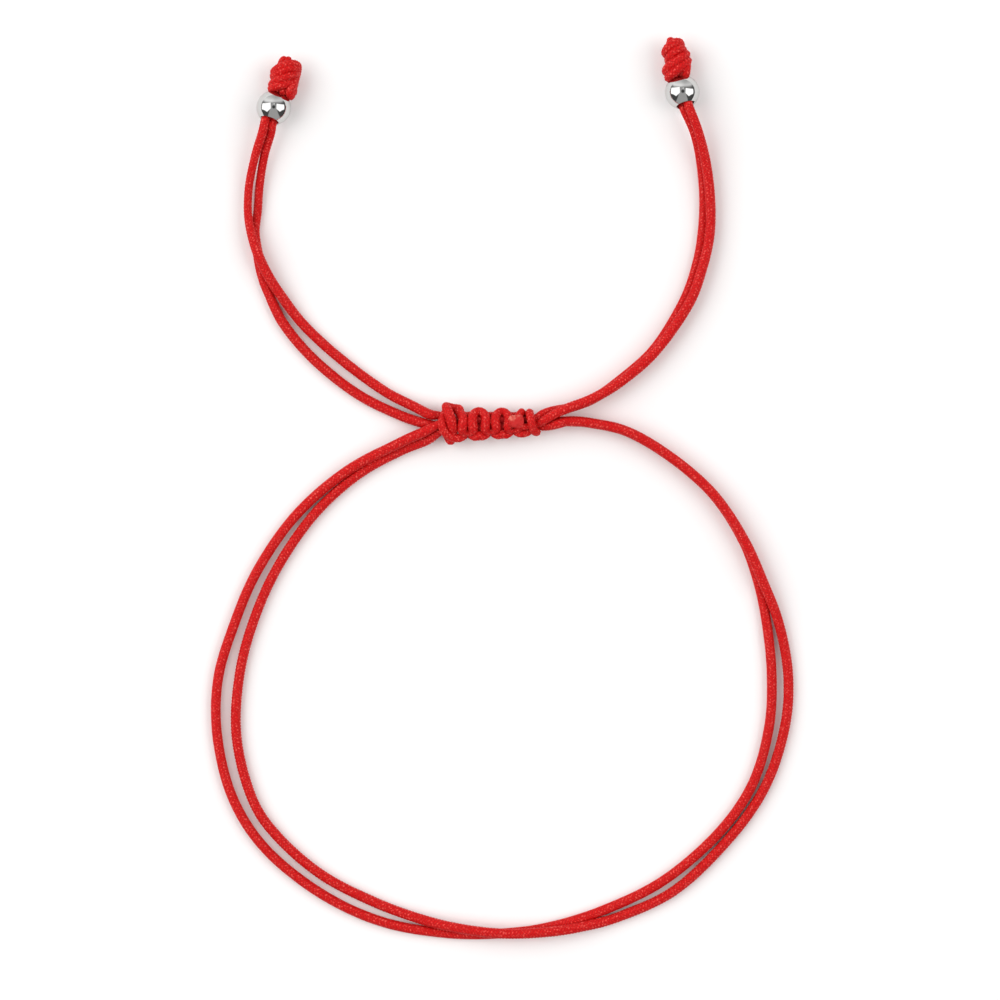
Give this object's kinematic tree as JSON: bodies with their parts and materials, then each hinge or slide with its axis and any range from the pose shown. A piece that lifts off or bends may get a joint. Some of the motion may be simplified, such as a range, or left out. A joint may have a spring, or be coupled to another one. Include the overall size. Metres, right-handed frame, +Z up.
{
  "type": "rope bracelet",
  "caption": "Adjustable bracelet of two braided cords with a square-knot slider, and a round metal bead and a stopper knot at each loose end, lying flat.",
  "frame": {"origin": "middle of the wrist opening, on the plane that the bracelet lies on", "axes": "+Z up through the wrist opening, +Y from the opening towards the sliding knot and the loose ends, +X to the right as seen from above"},
  "size_m": [0.0667, 0.1032, 0.004],
  "materials": {
    "cord": "braided, slight sheen",
    "tie_cord": "braided, slight sheen",
    "bead_metal": "polished"
  },
  "bodies": {
    "root": {"first_cord": "cord", "second_cord": "cord", "sliding_knot": "tie_cord", "bead_left": "bead_metal", "bead_right": "bead_metal", "end_knot_left": "cord", "end_knot_right": "cord"}
  },
  "joints": []
}
